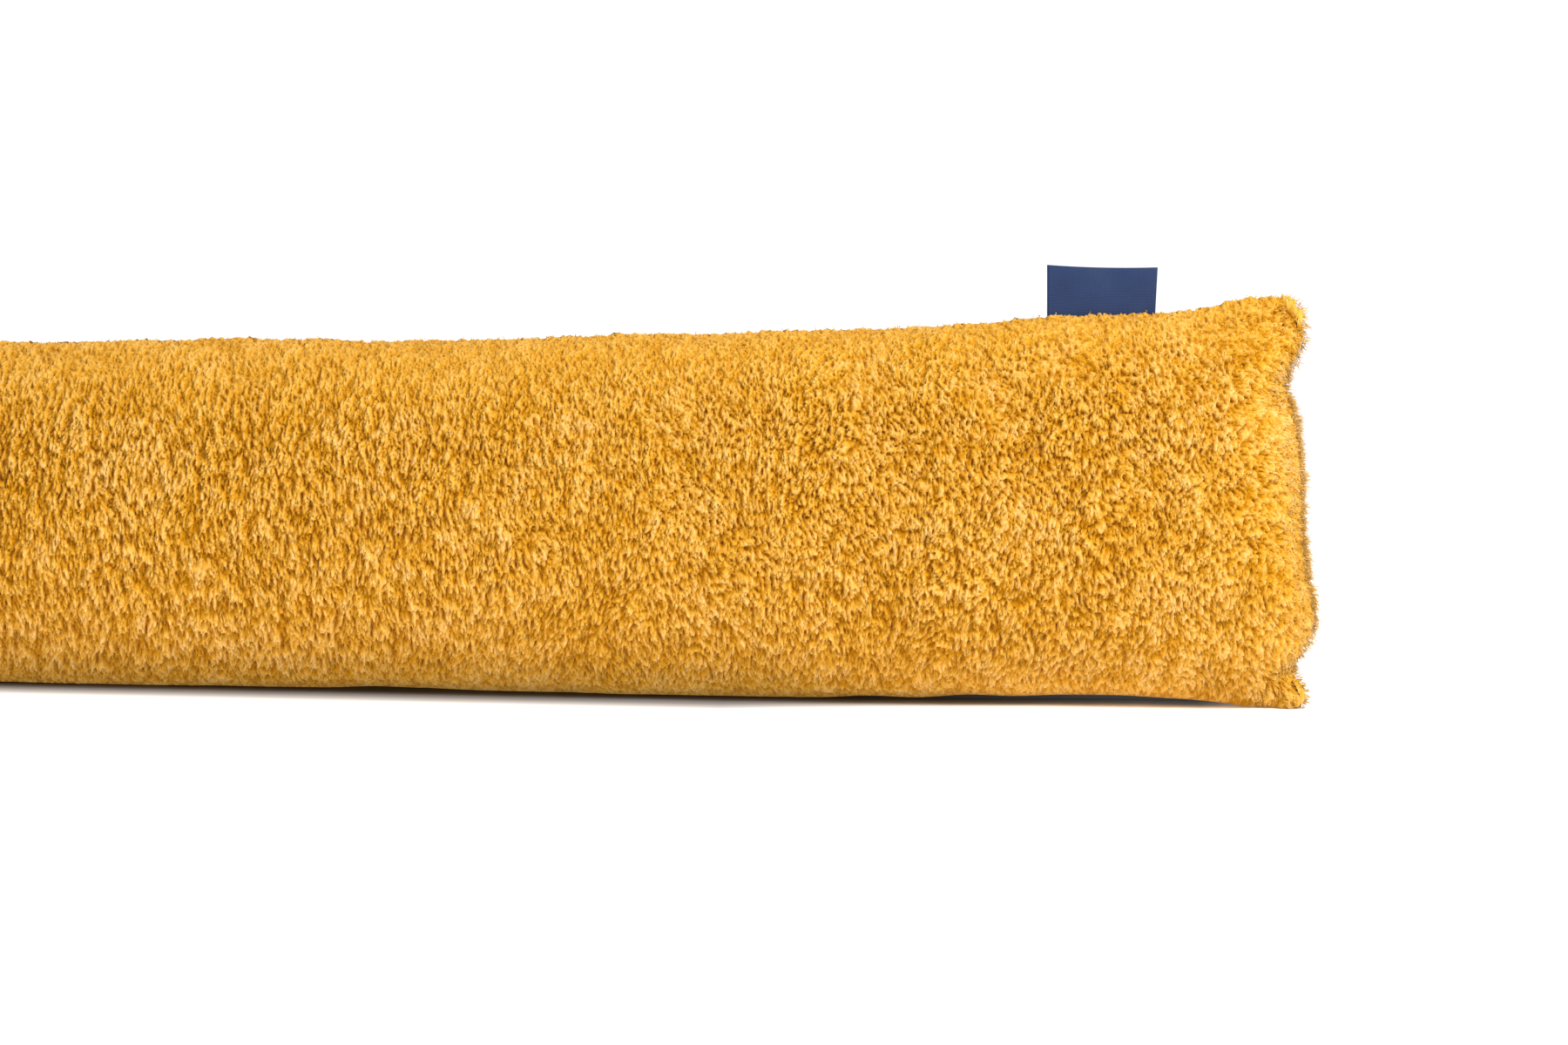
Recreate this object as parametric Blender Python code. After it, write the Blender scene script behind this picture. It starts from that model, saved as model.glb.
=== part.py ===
"""A draught excluder: a long tube of teddy fleece, filled and sewn shut across both ends.

It rests on its long lower edge, as it does along the foot of a door. X runs along
its length, the front panel faces -Y and the floor is at Z = 0. Sizes are in metres.
"""

import math

import bmesh
import bpy
import numpy as np
from mathutils import Vector, noise
from mathutils.bvhtree import BVHTree

# Driving dimensions of the cover
LENGTH = 0.900  # from end to end, over the pile
GIRTH = 0.424  # round the knitted backing: a cover 20 cm wide when flat, a little stretched
PILE = 0.006  # how far the pile stands off the backing
NOSE = 0.026  # length over which each end opens from its seam to the full depth
BLUNTNESS = 2.5  # how square-shouldered it opens; 2 would be a plain quarter oval
SEAM_DIP = 0.004  # how far the end seam sinks between the two panels at mid height
TOP_GROOVE = 0.002  # depth of the valley along the top seam
SEATED = 0.0003  # clearance between two pieces that touch

# The cover along its length. top is the height of the pile's tips above the floor.
# pressed is how far the round underside is flattened by the floor, and less than
# nothing where it stands clear.
SECTION_COLUMNS = ("x", "top", "pressed")
SECTIONS = (
    (-0.444, 0.1916, 0.0034),
    (-0.430, 0.1926, 0.0036),
    (-0.408, 0.1891, 0.0018),
    (-0.380, 0.1826, -0.0012),
    (-0.340, 0.1756, -0.0020),
    (-0.290, 0.1686, 0.0004),
    (-0.230, 0.1645, 0.0028),
    (-0.150, 0.1633, 0.0033),
    (-0.060, 0.1668, 0.0024),
    (0.050, 0.1699, 0.0018),
    (0.130, 0.1741, 0.0012),
    (0.220, 0.1785, 0.0003),
    (0.290, 0.1822, -0.0016),
    (0.330, 0.1877, -0.0035),
    (0.370, 0.1898, -0.0033),
    (0.400, 0.1930, -0.0012),
    (0.425, 0.1979, 0.0032),
    (0.444, 0.1980, 0.0038),
)

# The outline of the right end, from the floor up: how far the seam line stands
# outside (or inside) the straight line between the ears.
END_COLUMNS = ("height", "reach")
END_OUTLINE = (
    (0.000, 0.0020),
    (0.005, 0.0024),
    (0.021, -0.0028),
    (0.033, 0.0034),
    (0.045, 0.0062),
    (0.065, 0.0026),
    (0.095, -0.0002),
    (0.120, -0.0014),
    (0.138, -0.0046),
    (0.150, -0.0097),
    (0.160, -0.0110),
    (0.172, -0.0056),
    (0.186, -0.0034),
    (0.198, -0.0038),
)
LEFT_REACH = 0.7  # the left end wavers less than the right one

# Folds gathered into the end seams, and the unevenness of hand filling
GATHER_PITCH = 0.034
GATHER_DEPTH = 0.0016
GATHER_LENGTH = 0.030
LUMP_SIZE = 0.020
LUMP_DEPTH = 0.0013
FILL_SIZE = 0.110
FILL_DEPTH = 0.0016

# How finely the cover is divided
HALF_RING = 28  # steps from the top seam down to the lower edge
SIDE_CROWDING = 0.35  # more of them near the seams than across the panels
NEAR_END = (0.0025, 0.006, 0.010, 0.015, 0.021, 0.028, 0.036, 0.045, 0.055, 0.066, 0.078)
MIDDLE_STEPS = 55
CAP_ANGLES = (90, 62, 33)

# The label
LABEL_WIDTH = 0.053
LABEL_CENTRE = 0.348
LABEL_TOP = 0.2112
LABEL_DIP = 0.0013  # the fold sags this much between its corners
LABEL_LAYER = 0.0010
LABEL_GAP = 0.0006  # between the two layers
LABEL_TAPER = 0.0008  # narrower at the seam, on each side
LABEL_WAVE = 0.0009
LABEL_STEPS = 12

FLEECE_COLOUR = (0.80, 0.39, 0.045)
LABEL_COLOUR = (0.035, 0.065, 0.165)


def clear_scene():
    for old in list(bpy.data.objects):
        bpy.data.objects.remove(old, do_unlink=True)


def collection_for(name):
    made = bpy.data.collections.new(name)
    bpy.context.scene.collection.children.link(made)
    return made


def material(name, colour, roughness, sheen=0.0):
    made = bpy.data.materials.new(name)
    made.use_nodes = True
    shader = made.node_tree.nodes["Principled BSDF"]
    shader.inputs["Base Color"].default_value = (*colour, 1.0)
    shader.inputs["Roughness"].default_value = roughness
    shader.inputs["Metallic"].default_value = 0.0
    shader.inputs["Sheen Weight"].default_value = sheen
    made.diffuse_color = (*colour, 1.0)
    return made


def smooth_curve(table, columns, name, at):
    """Reads one named column of a table against its first column, on a smooth curve
    through its rows: cubics whose slope at a row is that of its neighbours."""
    xs, ys = np.array(table, float).T[[0, columns.index(name)]]
    slopes = np.gradient(ys, xs)
    at = np.clip(np.asarray(at, float), xs[0], xs[-1])
    row = np.clip(np.searchsorted(xs, at) - 1, 0, len(xs) - 2)
    step = xs[row + 1] - xs[row]
    t = (at - xs[row]) / step
    return (
        (1 + 2 * t) * (1 - t) ** 2 * ys[row]
        + t * (1 - t) ** 2 * step * slopes[row]
        + t * t * (3 - 2 * t) * ys[row + 1]
        + t * t * (t - 1) * step * slopes[row + 1]
    )


def half_depth(half_height):
    """Half the depth of an oval with the cover's girth. The cloth keeps its length, so
    a lower section is a deeper one."""
    low, high = 0.0, GIRTH / 4
    for _ in range(40):
        depth = (low + high) / 2
        both = half_height + depth
        girth = math.pi * (
            3 * both - math.sqrt((3 * half_height + depth) * (half_height + 3 * depth))
        )
        low, high = (depth, high) if girth < GIRTH else (low, depth)
    return depth


def half_section(x, from_seam, pile):
    """Points of the front half of one section, from the top seam down to the lower edge.

    The backing is an oval in the middle of the tube and a lens that comes to a point
    near the ends. The pile stands off it at right angles, and round each seam in an arc.
    """
    top = float(smooth_curve(SECTIONS, SECTION_COLUMNS, "top", x))
    pressed = float(smooth_curve(SECTIONS, SECTION_COLUMNS, "pressed", x))
    half_height = (top + pressed) / 2 - PILE
    middle = (top - pressed) / 2
    opened = min(max(from_seam / NOSE, 0.0), 1.0)
    depth = half_depth(half_height) * (1 - (1 - opened) ** BLUNTNESS) ** (1 / BLUNTNESS)
    point = 0.5 + 0.55 * math.exp(-max(from_seam, 0.0) / 0.034)

    v = np.cos(np.linspace(0.0, math.pi, 400))
    fuller_below = 1 - 0.09 * v
    y = -depth * np.maximum(1 - np.abs(v) ** 2.15, 0.0) ** point * fuller_below
    z = middle + half_height * v

    along = np.stack([np.gradient(y), np.gradient(z)], axis=1)
    along /= np.linalg.norm(along, axis=1)[:, None]
    out = np.stack([along[:, 1], -along[:, 0]], axis=1)
    out[:, 0] = -np.abs(out[:, 0])

    def arc(centre, first, last):
        turn = np.linspace(first, last, 24)[:, None]
        return centre + pile * np.hstack([-np.cos(turn), np.sin(turn)])

    ends = np.arctan2(out[[0, -1], 1], -out[[0, -1], 0])
    points = np.vstack(
        [
            arc(np.array([y[0], z[0]]), math.pi / 2, ends[0]),
            np.stack([y, z], axis=1)[1:-1] + pile * out[1:-1],
            arc(np.array([y[-1], z[-1]]), ends[1], -math.pi / 2),
        ]
    )
    run = np.concatenate(
        [[0.0], np.cumsum(np.linalg.norm(np.diff(points, axis=0), axis=1))]
    )
    share = np.linspace(0.0, 1.0, HALF_RING + 1)
    share -= SIDE_CROWDING * np.sin(2 * math.pi * share) / (2 * math.pi)
    return np.stack([np.interp(share * run[-1], run, points[:, k]) for k in (0, 1)], axis=1)


def stations():
    """(x, distance inside the nearest end seam, pile left) for each ring, left to right.
    Outside the seam line the pile rounds off to nothing."""
    seam = LENGTH / 2 - PILE
    right = [
        (seam + PILE * math.sin(angle), -PILE * math.sin(angle), PILE * math.cos(angle))
        for angle in map(math.radians, CAP_ANGLES)
    ]
    right += [(seam - inside, inside, PILE) for inside in (0.0, *NEAR_END)]
    left = [(-x, inside, pile) for x, inside, pile in right]
    inner = seam - NEAR_END[-1]
    middle = [
        (x, seam - abs(x), PILE)
        for x in np.linspace(-inner, inner, MIDDLE_STEPS + 1)[1:-1]
    ]
    return left + middle + right[::-1]


def cover_grid():
    """Points of the cover, as an array of rings by steps by 3. Each ring starts at the
    top seam and runs down the front panel, then up the back panel."""
    rings = []
    for x, inside, pile in stations():
        front = half_section(x, inside, pile)
        back = front[-2:0:-1] * (-1, 1)
        ring = np.vstack([front, back])
        rings.append(np.column_stack([np.full(len(ring), x), ring]))
    grid = np.array(rings)
    inside = np.array([row[1] for row in stations()])[:, None]
    side = np.sign(grid[:, :, 0])
    height = np.clip(grid[:, :, 2], 0.0, END_OUTLINE[-1][0])

    near = np.exp(-np.maximum(inside, 0.0) / 0.022)
    reach = smooth_curve(END_OUTLINE, END_COLUMNS, "reach", height)
    reach = reach * np.where(side < 0, LEFT_REACH, 1.0)
    between_ears = np.clip(1 - (height / 0.099 - 1) ** 4, 0.0, 1.0)
    rim = np.clip(-inside / PILE, 0.0, 1.0) ** 8
    grid[:, :, 0] += side * (near * reach - SEAM_DIP * rim * between_ears)

    fold = np.cos(2 * math.pi * height / GATHER_PITCH + 0.8 * side)
    start = np.clip(inside / 0.008, 0.0, 1.0)
    gather = GATHER_DEPTH * fold * start * np.exp(-np.maximum(inside, 0.0) / GATHER_LENGTH)
    return uneven(grid, gather)


def uneven(grid, gather):
    """The grid with its gathers, its lumps and the broad waves of the filling, each
    pushed along the surface's own outward direction, and its underside laid flat."""
    lengthwise = np.gradient(grid, axis=0)
    closed = np.concatenate([grid[:, -1:], grid, grid[:, :1]], axis=1)
    around = (closed[:, 2:] - closed[:, :-2]) / 2
    out = np.cross(around, lengthwise)
    size = np.linalg.norm(out, axis=2)[:, :, None]
    out = np.where(size > 1e-12, out / np.maximum(size, 1e-12), 0.0)
    lumps = np.zeros(grid.shape[:2])
    for i, ring in enumerate(grid[1:-1], start=1):
        for j, point in enumerate(ring):
            place = Vector(point)
            lumps[i, j] = LUMP_DEPTH * noise.noise(place / LUMP_SIZE)
            lumps[i, j] += FILL_DEPTH * noise.noise(place / FILL_SIZE)
    bare = np.array([row[2] for row in stations()])[:, None] / PILE
    moved = grid + out * (bare * (gather + lumps))[:, :, None]
    groove = np.clip((LENGTH / 2 - np.abs(moved[:, 0, 0]) - 0.02) / 0.03, 0.0, 1.0)
    moved[:, 0, 1] = 0.0
    moved[:, 0, 2] -= TOP_GROOVE * groove
    moved[:, HALF_RING, 1] = 0.0
    moved[:, :, 2] = np.maximum(moved[:, :, 2], 0.0)
    return moved


def loft(name, rings, capped, look, home):
    """An object whose surface joins closed rings of points, one after the other. Rings
    that are drawn together to a line close by themselves; others get a cap."""
    mesh = bmesh.new()
    made = [[mesh.verts.new(point) for point in ring] for ring in rings]
    count = len(made[0])
    for first, second in zip(made, made[1:]):
        for j in range(count):
            k = (j + 1) % count
            mesh.faces.new((first[j], first[k], second[k], second[j]))
    if capped:
        mesh.faces.new(made[0][::-1])
        mesh.faces.new(made[-1])
    bmesh.ops.remove_doubles(mesh, verts=mesh.verts, dist=1e-5)
    bmesh.ops.triangulate(mesh, faces=[f for f in mesh.faces if len(f.verts) > 4])
    bmesh.ops.recalc_face_normals(mesh, faces=mesh.faces)
    data = bpy.data.meshes.new(name)
    mesh.to_mesh(data)
    mesh.free()
    data.materials.append(look)
    data.shade_smooth()
    made_object = bpy.data.objects.new(name, data)
    home.objects.link(made_object)
    return made_object


def make_cover(home):
    return loft("cover", cover_grid(), False, material("teddy fleece", FLEECE_COLOUR, 0.95, 0.3), home)


def cover_height(cover, x):
    """The highest point of the cover under the label's two layers at this x."""
    tree = BVHTree.FromObject(cover, bpy.context.evaluated_depsgraph_get())
    half = LABEL_LAYER + LABEL_GAP / 2 + LABEL_WAVE
    hits = [
        tree.ray_cast(Vector((x, y, LABEL_TOP)), Vector((0, 0, -1)))[0].z
        for y in np.linspace(-half, half, 7)
    ]
    return max(hits)


def make_label(cover, home):
    """A ribbon folded over at the top, its two ends down in the seam. Each section is
    the ribbon's own thickness, up the front, over the fold and down the back."""
    outer = LABEL_LAYER + LABEL_GAP / 2
    inner = LABEL_GAP / 2
    rings = []
    for step in np.linspace(-1.0, 1.0, LABEL_STEPS + 1):
        x = LABEL_CENTRE + step * LABEL_WIDTH / 2
        base = cover_height(cover, x) + SEATED
        fold = LABEL_TOP - LABEL_DIP * (1 - step * step) - outer
        bend = LABEL_WAVE * math.sin(2.2 * step)
        over = np.linspace(math.pi, 0.0, 7)
        ring = [(-outer, base), (-outer, (base + fold) / 2)]
        ring += [(outer * math.cos(a), fold + outer * math.sin(a)) for a in over]
        ring += [(outer, (base + fold) / 2), (outer, base)]
        ring += [(inner, base), (inner, (base + fold) / 2)]
        ring += [(inner * math.cos(a), fold + inner * math.sin(a)) for a in over[::-1]]
        ring += [(-inner, (base + fold) / 2), (-inner, base)]
        narrowing = [LABEL_TAPER * (1 - (z - base) / (fold - base)) for _, z in ring]
        rings.append(
            [
                (x - step * narrow, y + bend * (z - base) / (fold - base), z)
                for (y, z), narrow in zip(ring, narrowing)
            ]
        )
    return loft("label", rings, True, material("woven label", LABEL_COLOUR, 0.55), home)


def main():
    clear_scene()
    home = collection_for("draught_excluder")
    cover = make_cover(home)
    bpy.context.view_layer.update()
    make_label(cover, home)


main()
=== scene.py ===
# %% [markdown]
# # A draught excluder in teddy fleece
#
# A draught excluder is a long stuffed tube that lies along the foot of a door. This
# one has two panels of mustard teddy fleece, sewn together along the top and round
# both ends, with a folded navy label caught in the top seam.
#
# Teddy fleece is a knitted backing with a short, curled pile. From a metre away the
# eye sees the pile: thousands of small locks that lie over each other like shingles,
# with dark pits between them. So the lesson spends most of its effort there. A smooth
# tube with a bump map would look like clay, and its outline would be sharp.

# %% The frame: solids of the real size, which the pieces below replace
import math
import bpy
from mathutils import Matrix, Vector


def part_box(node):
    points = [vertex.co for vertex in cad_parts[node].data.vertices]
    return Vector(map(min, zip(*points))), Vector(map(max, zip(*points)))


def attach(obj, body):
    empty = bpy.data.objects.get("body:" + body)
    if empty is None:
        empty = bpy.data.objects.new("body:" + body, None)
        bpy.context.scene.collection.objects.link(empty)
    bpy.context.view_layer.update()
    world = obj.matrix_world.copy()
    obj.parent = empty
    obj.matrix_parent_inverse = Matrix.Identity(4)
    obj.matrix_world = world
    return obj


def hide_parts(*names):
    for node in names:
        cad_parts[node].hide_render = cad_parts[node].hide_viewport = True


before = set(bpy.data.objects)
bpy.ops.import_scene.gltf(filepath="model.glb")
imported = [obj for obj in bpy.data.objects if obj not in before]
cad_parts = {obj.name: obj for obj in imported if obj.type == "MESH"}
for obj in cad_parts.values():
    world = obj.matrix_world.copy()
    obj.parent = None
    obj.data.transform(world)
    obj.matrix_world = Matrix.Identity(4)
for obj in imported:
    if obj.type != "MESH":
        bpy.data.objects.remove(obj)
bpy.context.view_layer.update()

from types import SimpleNamespace

import bpy
import numpy as np
from mathutils import Matrix, Vector

label_low, label_high = (np.array(corner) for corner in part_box("label"))

# %% [markdown]
# ## The shape of the tube
#
# A stuffed tube keeps its girth, because cloth hardly stretches. Where it stands
# taller it is thinner, and the other way round. A table gives its height at a few
# places along the length, and the depth follows from the girth. At the ends, the two
# panels close to a seam with a pinched ear at each corner.
#
# A cloth simulation or a cage with a Subdivision Surface modifier could make such a
# form too. A formula is better here, because the pile needs to know, at any place,
# which way is outward and which way is down.

# %% Sizes of the tube, in metres
END_SEAM = 0.444  # from the middle of the tube to each end seam
GIRTH = 0.424  # round the knitted backing
PILE = 0.006  # from the backing to the tips of the pile
NOSE = 0.026  # each end opens to its full depth over this length
BLUNTNESS = 2.5  # the power of that opening: 2 would be a round nose
OVAL_POWER = 2.15  # a section is a little squarer than an ellipse
SAG = 0.09  # the filling sinks, so the lower half bulges more by this share
LENS_POWER = 0.55  # at the end seam the section is a pointed lens
LENS_LENGTH = 0.034  # which turns into the oval over this length
SEAM_DIP = 0.004  # the end seam lies this deep between the two panels
GATHER_PITCH = 0.034  # the sewing puckers the ends in waves
GATHER_DEPTH = 0.0016
GATHER_START = 0.008
GATHER_LENGTH = 0.030

SECTION_COLUMNS = ("x", "top", "pressed")
SECTIONS = (
    (-0.444, 0.1916, 0.0034),
    (-0.430, 0.1926, 0.0036),
    (-0.408, 0.1891, 0.0018),
    (-0.380, 0.1826, -0.0012),
    (-0.340, 0.1756, -0.0020),
    (-0.290, 0.1686, 0.0004),
    (-0.230, 0.1645, 0.0028),
    (-0.150, 0.1633, 0.0033),
    (-0.060, 0.1668, 0.0020),
    (0.050, 0.1699, -0.0008),
    (0.130, 0.1741, -0.0008),
    (0.220, 0.1785, -0.0016),
    (0.290, 0.1822, -0.0032),
    (0.330, 0.1877, -0.0036),
    (0.370, 0.1898, -0.0040),
    (0.400, 0.1930, -0.0030),
    (0.425, 0.1979, -0.0004),
    (0.444, 0.1980, 0.0038),
)
END_COLUMNS = ("height", "reach")
END_OUTLINE = (
    (0.000, 0.0036),
    (0.005, 0.0034),
    (0.021, -0.0040),
    (0.033, 0.0044),
    (0.045, 0.0076),
    (0.065, 0.0026),
    (0.095, -0.0006),
    (0.120, -0.0028),
    (0.138, -0.0062),
    (0.150, -0.0097),
    (0.160, -0.0110),
    (0.172, -0.0056),
    (0.186, -0.0034),
    (0.198, -0.0038),
)
END_HEIGHT = END_OUTLINE[-1][0]
OUTLINE_LENGTH = 0.022  # the outline of an end fades over this length of the tube
LEFT_REACH = 0.7  # the left end has the same outline, but less of it
BACK_BULGE = 0.0015  # the back panel comes round each end this much further
FRONT_SETBACK = 0.0070  # and the front panel this much less
BULGE_DEPTH = 0.016  # both are complete at this distance from the seam
BULGE_LENGTH = 0.012  # and fade over this length of the tube
EAR_ROUND = 0.0055  # radius of the corners of the backing, seen from the front


# %% Reading a table on a smooth curve
def read(table, columns, name, at):
    """Reads one column of a table against its first column. Between two rows the curve
    is a cubic, and its slope at each row is that of the rows beside it."""
    xs, ys = np.array(table, float).T[[0, columns.index(name)]]
    slopes = np.gradient(ys, xs)
    at = np.clip(np.asarray(at, float), xs[0], xs[-1])
    row = np.clip(np.searchsorted(xs, at) - 1, 0, len(xs) - 2)
    step = xs[row + 1] - xs[row]
    t = (at - xs[row]) / step
    return (
        (1 + 2 * t) * (1 - t) ** 2 * ys[row]
        + t * (1 - t) ** 2 * step * slopes[row]
        + t * t * (3 - 2 * t) * ys[row + 1]
        + t * t * (t - 1) * step * slopes[row + 1]
    )


def half_depth(half_height):
    """Half the depth of an oval of the tube's girth, found by halving the range forty
    times, for a whole array of heights at once."""
    low = np.zeros_like(half_height)
    high = np.full_like(half_height, GIRTH / 4)
    for _ in range(40):
        depth = (low + high) / 2
        root = np.sqrt((3 * half_height + depth) * (half_height + 3 * depth))
        slack = math.pi * (3 * (half_height + depth) - root) < GIRTH
        low, high = np.where(slack, depth, low), np.where(slack, high, depth)
    return depth


# %% [markdown]
# ## A skin at any height above the backing
#
# Every layer of the fleece is the backing moved outward by some distance. So one
# function gives them all: the dense cloth under the pile, and the places and
# directions of the locks. Its two parameters are the station along the tube and the
# share of the way round, from the top seam down the front and up the back.

# %% The skin of the tube as a grid
CAP_TURNS = np.radians([90, 72, 54, 36, 18])
HALF_DEPTH = 0.062  # of the tube, about
SHORTEST_STEP = 4e-6  # between stations, so that every face can be shaded
SECTION_POINTS = 240
ARC_POINTS = 16


def stations(level, first_step, step):
    """Stations along the tube as (x, distance inside the nearest end seam, level left).
    Where each end opens, they are placed by even steps in depth, because the surface
    there runs across the tube. Outside the seam the level rounds off to nothing, which
    closes the skin."""
    opened = np.arange(0.0, 0.98, first_step / HALF_DEPTH)
    reach = NOSE * (1 - (1 - opened**BLUNTNESS) ** (1 / BLUNTNESS))
    steps = np.maximum(np.diff(reach), SHORTEST_STEP)
    reach = np.concatenate([[0.0], np.cumsum(steps[: 1 + np.count_nonzero(steps < step)])])
    inner = END_SEAM - reach[-1]
    count = int(round(2 * inner / step))
    middle = np.linspace(-inner, inner, count + 1)[1:-1]
    cap = np.stack(
        [
            END_SEAM + level * np.sin(CAP_TURNS),
            -level * np.sin(CAP_TURNS),
            level * np.cos(CAP_TURNS),
        ],
        axis=1,
    )
    edge = np.stack([END_SEAM - reach, reach, np.full(len(reach), level)], axis=1)
    right = np.vstack([cap, edge])
    left = right * (-1, 1, 1)
    body = np.stack([middle, END_SEAM - np.abs(middle), np.full(len(middle), level)], axis=1)
    return np.vstack([left, body, right[::-1]])


def front_halves(rows, shares):
    """The front half of every section, from the top seam to the lower edge, as an array
    of stations by shares by (y, z). The backing is an oval that turns into a pointed
    lens near the ends. Its points move outward by the level along their normals, an arc
    is added round each seam, and points are read off at the given shares of its length."""
    x, inside, level = (rows[:, k : k + 1] for k in range(3))
    top = read(SECTIONS, SECTION_COLUMNS, "top", x)
    pressed = read(SECTIONS, SECTION_COLUMNS, "pressed", x)
    corner = EAR_ROUND - np.clip(inside, 0.0, EAR_ROUND)
    half_height = (top + pressed) / 2 - PILE - EAR_ROUND + np.sqrt(EAR_ROUND**2 - corner**2)
    middle = (top - pressed) / 2
    shut = 1 - np.clip(inside / NOSE, 0.0, 1.0)
    depth = half_depth(half_height) * (1 - shut**BLUNTNESS) ** (1 / BLUNTNESS)
    point = 0.5 + LENS_POWER * np.exp(-np.maximum(inside, 0.0) / LENS_LENGTH)

    v = np.cos(np.linspace(0.0, math.pi, SECTION_POINTS))[None, :]
    y = -depth * np.maximum(1 - np.abs(v) ** OVAL_POWER, 0.0) ** point * (1 - SAG * v)
    z = middle + half_height * v
    run_y, run_z = np.gradient(y, axis=1), np.gradient(z, axis=1)
    size = np.hypot(run_y, run_z)
    out_y, out_z = -np.abs(run_z / size), -run_y / size

    def arc(k, first, last):
        turn = first + (last - first) * np.linspace(0.0, 1.0, ARC_POINTS)[None, :]
        return y[:, [k]] - level * np.cos(turn), z[:, [k]] + level * np.sin(turn)

    start = np.arctan2(out_z[:, :1], -out_y[:, :1])
    end = np.arctan2(out_z[:, -1:], -out_y[:, -1:])
    over, under = arc(0, math.pi / 2, start), arc(-1, end, -math.pi / 2)
    y = np.hstack([over[0], (y + level * out_y)[:, 1:-1], under[0]])
    z = np.hstack([over[1], (z + level * out_z)[:, 1:-1], under[1]])

    run = np.cumsum(np.hypot(np.diff(y, axis=1), np.diff(z, axis=1)), axis=1)
    run = np.hstack([np.zeros((len(run), 1)), run / run[:, -1:]])
    row = 2.0 * np.arange(len(run))[:, None]
    wanted = (row + shares[None, :]).ravel()
    read_off = [np.interp(wanted, (row + run).ravel(), values.ravel()) for values in (y, z)]
    return np.stack(read_off, axis=1).reshape(len(run), len(shares), 2)


def between_ears(height):
    """1 in the middle of an end and 0 at its two ears: one less the fourth power of the
    height, counted from the middle."""
    return np.clip(1 - (height / (END_HEIGHT / 2) - 1) ** 4, 0.0, 1.0)


def skin(level, first_step, step, shares):
    """The grid of points of the skin at this level, stations by points around by 3. The
    shares go from 0 at the top seam to 1 at the lower edge, and serve both halves. Each
    end reaches out as its outline says, its seam dips in between the panels, and the
    gathers are a cosine of the height that fades along the tube."""
    rows = stations(level, first_step, step)
    front = front_halves(rows, shares)
    ring = np.concatenate([front, front[:, -2:0:-1] * (-1, 1)], axis=1)
    x = np.broadcast_to(rows[:, :1], ring.shape[:2])
    grid = np.concatenate([x[:, :, None], ring], axis=2)

    inside, side = rows[:, 1:2], np.sign(rows[:, :1])
    height = np.clip(grid[:, :, 2], 0.0, END_HEIGHT)
    reach = read(END_OUTLINE, END_COLUMNS, "reach", height)
    reach = reach * np.where(side < 0, LEFT_REACH, 1.0)
    near = np.exp(-np.maximum(inside, 0.0) / OUTLINE_LENGTH)
    flank = between_ears(height)
    rim = np.clip(-inside / max(level, 1e-6), 0.0, 1.0) ** 8
    depth = grid[:, :, 1] / BULGE_DEPTH
    bulge = BACK_BULGE * np.clip(depth, 0.0, 1.0) - FRONT_SETBACK * np.clip(-depth, 0.0, 1.0)
    bulge = bulge * flank * np.exp(-np.maximum(inside, 0.0) / BULGE_LENGTH)
    grid[:, :, 0] += side * (near * reach + bulge - SEAM_DIP * rim * flank)
    fold = np.cos(2 * math.pi * height / GATHER_PITCH + 0.8 * side)
    start = np.clip(inside / GATHER_START, 0.0, 1.0)
    gather = GATHER_DEPTH * fold * start * np.exp(-np.maximum(inside, 0.0) / GATHER_LENGTH)
    return grid + outward(grid) * gather[:, :, None]


def dot(a, b):
    return (a * b).sum(axis=-1, keepdims=True)


def unit(a):
    return a / np.maximum(np.linalg.norm(a, axis=-1, keepdims=True), 1e-12)


def outward(grid):
    """Unit normals of a grid that is closed around its second direction: the cross
    product of the way around and the way along. At both ends they point along X."""
    along = np.gradient(grid, axis=0)
    closed = np.concatenate([grid[:, -1:], grid, grid[:, :1]], axis=1)
    out = np.cross((closed[:, 2:] - closed[:, :-2]) / 2, along)
    out[0], out[-1] = (-1, 0, 0), (1, 0, 0)
    return unit(out)


# %% Soft noise for everything that is uneven
def soft_noise(points, size, seed):
    """Smooth noise between -1 and 1 at 3D points. Space is divided into cubes of this
    size, each corner has its own random value, and the eight are blended smoothly."""
    values = np.random.default_rng(seed).uniform(-1, 1, 4096)
    place = np.asarray(points) / size
    cell = np.floor(place).astype(np.int64)
    f = place - cell
    f = f * f * (3 - 2 * f)
    total = np.zeros(place.shape[:-1])
    for dx in (0, 1):
        for dy in (0, 1):
            for dz in (0, 1):
                i, j, k = (cell[..., n] + d for n, d in enumerate((dx, dy, dz)))
                corner = values[(i * 73856093 ^ j * 19349663 ^ k * 83492791) & 4095]
                weight = np.abs(1 - dx - f[..., 0]) * np.abs(1 - dy - f[..., 1])
                total += corner * weight * np.abs(1 - dz - f[..., 2])
    return total


def summed_noise(points, layers):
    """Noises of several sizes added up. A layer is its height, its size and its seed."""
    return sum(height * soft_noise(points, size, seed) for height, size, seed in layers)


LUMPS = ((0.0015, 0.085, 11), (0.0009, 0.024, 12))


def hand_filled(points, out):
    """Points pushed in and out a little, as filling by hand leaves a tube: broad waves
    and smaller lumps."""
    return points + out * summed_noise(points, LUMPS)[..., None]


# %% [markdown]
# ## Putting a numpy surface into a mesh
#
# Blender takes whole arrays with foreach_set, which is hundreds of times faster than
# adding vertices one by one. Each piece also gets a UV map, so that its material can
# follow the cloth.

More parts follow.
